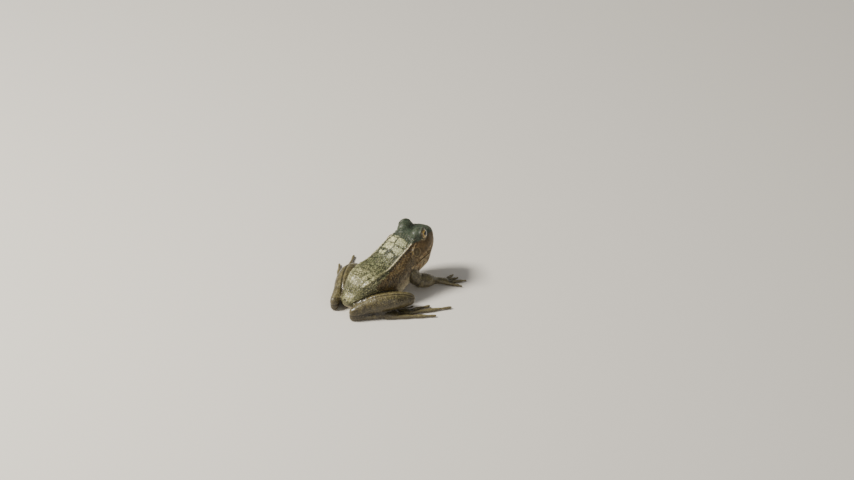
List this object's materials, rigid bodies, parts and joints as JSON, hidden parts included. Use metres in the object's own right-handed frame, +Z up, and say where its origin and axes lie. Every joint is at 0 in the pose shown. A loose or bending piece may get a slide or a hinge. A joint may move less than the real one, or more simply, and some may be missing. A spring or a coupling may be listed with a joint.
{
  "type": "pond frog",
  "caption": "Life-size frog sitting at rest: head raised, hind legs folded flat beside the body over long webbed feet, hands set forward.",
  "frame": {"origin": "on the ground, under the middle of the frog's box", "axes": "+Z up; the frog faces -Y, and its left side is towards +X"},
  "size_m": [0.0864, 0.084, 0.0398],
  "materials": {
    "back": "moist, warty skin, grey-olive with dark blotches",
    "flank": "moist skin, brown with dark marbling",
    "belly": "moist, smooth, pale skin",
    "eye": "wet, golden iris and dark pupil",
    "eardrum": "thin, taut, satin skin"
  },
  "bodies": {
    "root": {"trunk": "back", "head": "back", "lower_jaw": "belly", "left_eye": "eye", "left_eardrum": "eardrum", "left_upper_arm": "back", "left_forearm": "flank", "left_hand": "flank", "left_thigh": "back", "left_shank": "flank", "left_ankle": "flank", "left_foot": "flank", "right_eye": "eye", "right_eardrum": "eardrum", "right_upper_arm": "back", "right_forearm": "flank", "right_hand": "flank", "right_thigh": "back", "right_shank": "flank", "right_ankle": "flank", "right_foot": "flank"}
  },
  "joints": []
}
